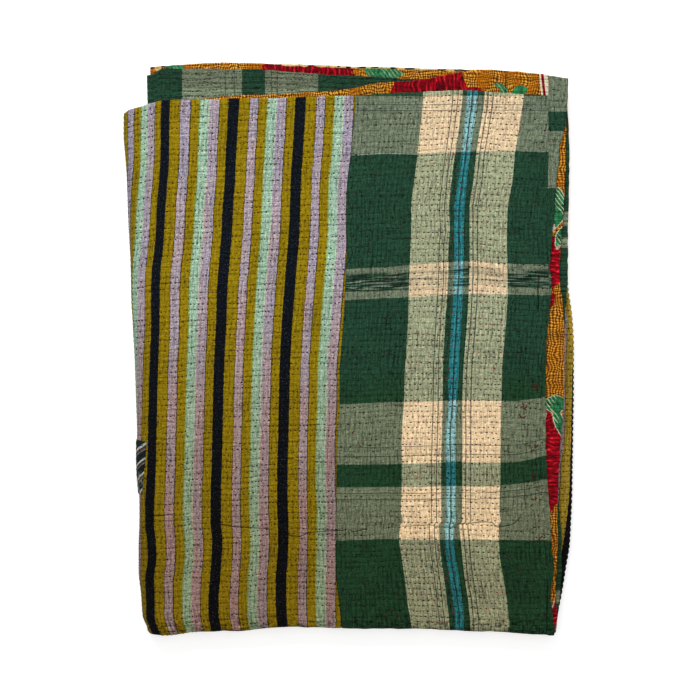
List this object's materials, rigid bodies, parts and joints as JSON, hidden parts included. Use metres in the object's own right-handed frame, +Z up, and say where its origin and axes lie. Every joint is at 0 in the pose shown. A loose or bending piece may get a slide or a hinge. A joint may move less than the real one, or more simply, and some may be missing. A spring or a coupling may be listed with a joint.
{
  "type": "kantha quilt",
  "caption": "Kantha quilt of thin hand-quilted patchwork cloth, folded three times into a flat, slightly uneven stack of layers.",
  "frame": {"origin": "centre of the folded stack's box, on the surface that it lies on", "axes": "+Z up through the layers, +Y along the stack's long side away from its lower fold, +X towards its hems"},
  "size_m": [0.5686, 0.723, 0.0327],
  "materials": {
    "patchwork_cotton": "worn hand-loomed cotton with running stitch, matt",
    "printed_cotton": "thin printed cotton, matt"
  },
  "bodies": {
    "root": {"quilt": "patchwork_cotton", "fold_patch": "printed_cotton"}
  },
  "joints": []
}
